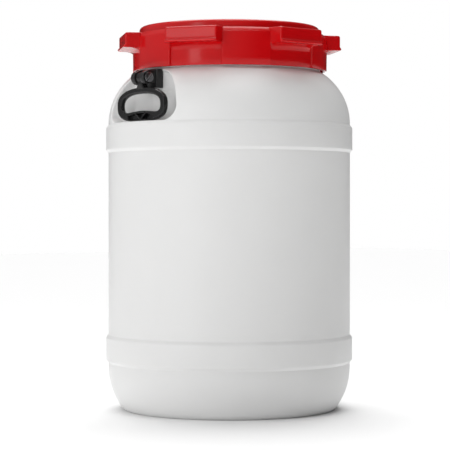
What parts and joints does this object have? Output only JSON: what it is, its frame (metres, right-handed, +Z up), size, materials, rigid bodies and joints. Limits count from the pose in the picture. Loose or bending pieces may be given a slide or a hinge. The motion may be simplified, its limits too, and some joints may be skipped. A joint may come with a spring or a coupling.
{
  "type": "wide-neck fermenting drum",
  "caption": "Wide-neck plastic fermenting drum with rolling hoops, a screw lid with grip lugs on a gasket, and swing carrying handles set in pockets in the shoulder.",
  "frame": {"origin": "on the floor at the drum's vertical axis, under the middle of the base", "axes": "+Z up along the drum's axis, X across the drum through the two handles"},
  "size_m": [0.3999, 0.4, 0.6185],
  "materials": {
    "drum": "satin",
    "lid": "gloss",
    "gasket": "matte",
    "fitting": "satin",
    "handle": "satin",
    "steel": "satin"
  },
  "bodies": {
    "drum": {"drum_base": "drum", "drum_wall": "drum", "drum_shoulder": "drum", "bracket_left": "fitting", "hinge_bolt_left": "steel", "hinge_nut_left": "steel", "bracket_screw_left": "steel", "bracket_right": "fitting", "hinge_bolt_right": "steel", "hinge_nut_right": "steel", "bracket_screw_right": "steel"},
    "gasket": {"lid_gasket": "gasket"},
    "lid": {"lid": "lid"},
    "handle_left": {"handle_left": "handle"},
    "handle_right": {"handle_right": "handle"}
  },
  "joints": [
    {"name": "lid_lift", "type": "slide", "parent": "drum", "child": "gasket", "axis": [0, 0, 1], "range_m": [0, 0.0721]},
    {"name": "lid_turn", "type": "hinge", "parent": "gasket", "child": "lid", "pos_m": [0, 0, 0.6], "axis": [0, 0, 1], "range_deg": [0, 1080]},
    {"name": "handle_left_swing", "type": "hinge", "parent": "drum", "child": "handle_left", "pos_m": [-0.1775, 0, 0.5295], "axis": [0, 1, 0], "range_deg": [-6, 135]},
    {"name": "handle_right_swing", "type": "hinge", "parent": "drum", "child": "handle_right", "pos_m": [0.1775, 0, 0.5295], "axis": [0, -1, 0], "range_deg": [-6, 135]}
  ],
  "couplings": [
    {"joint": "lid_lift", "follows": "lid_turn", "m_per_rad": 0.0038197}
  ]
}
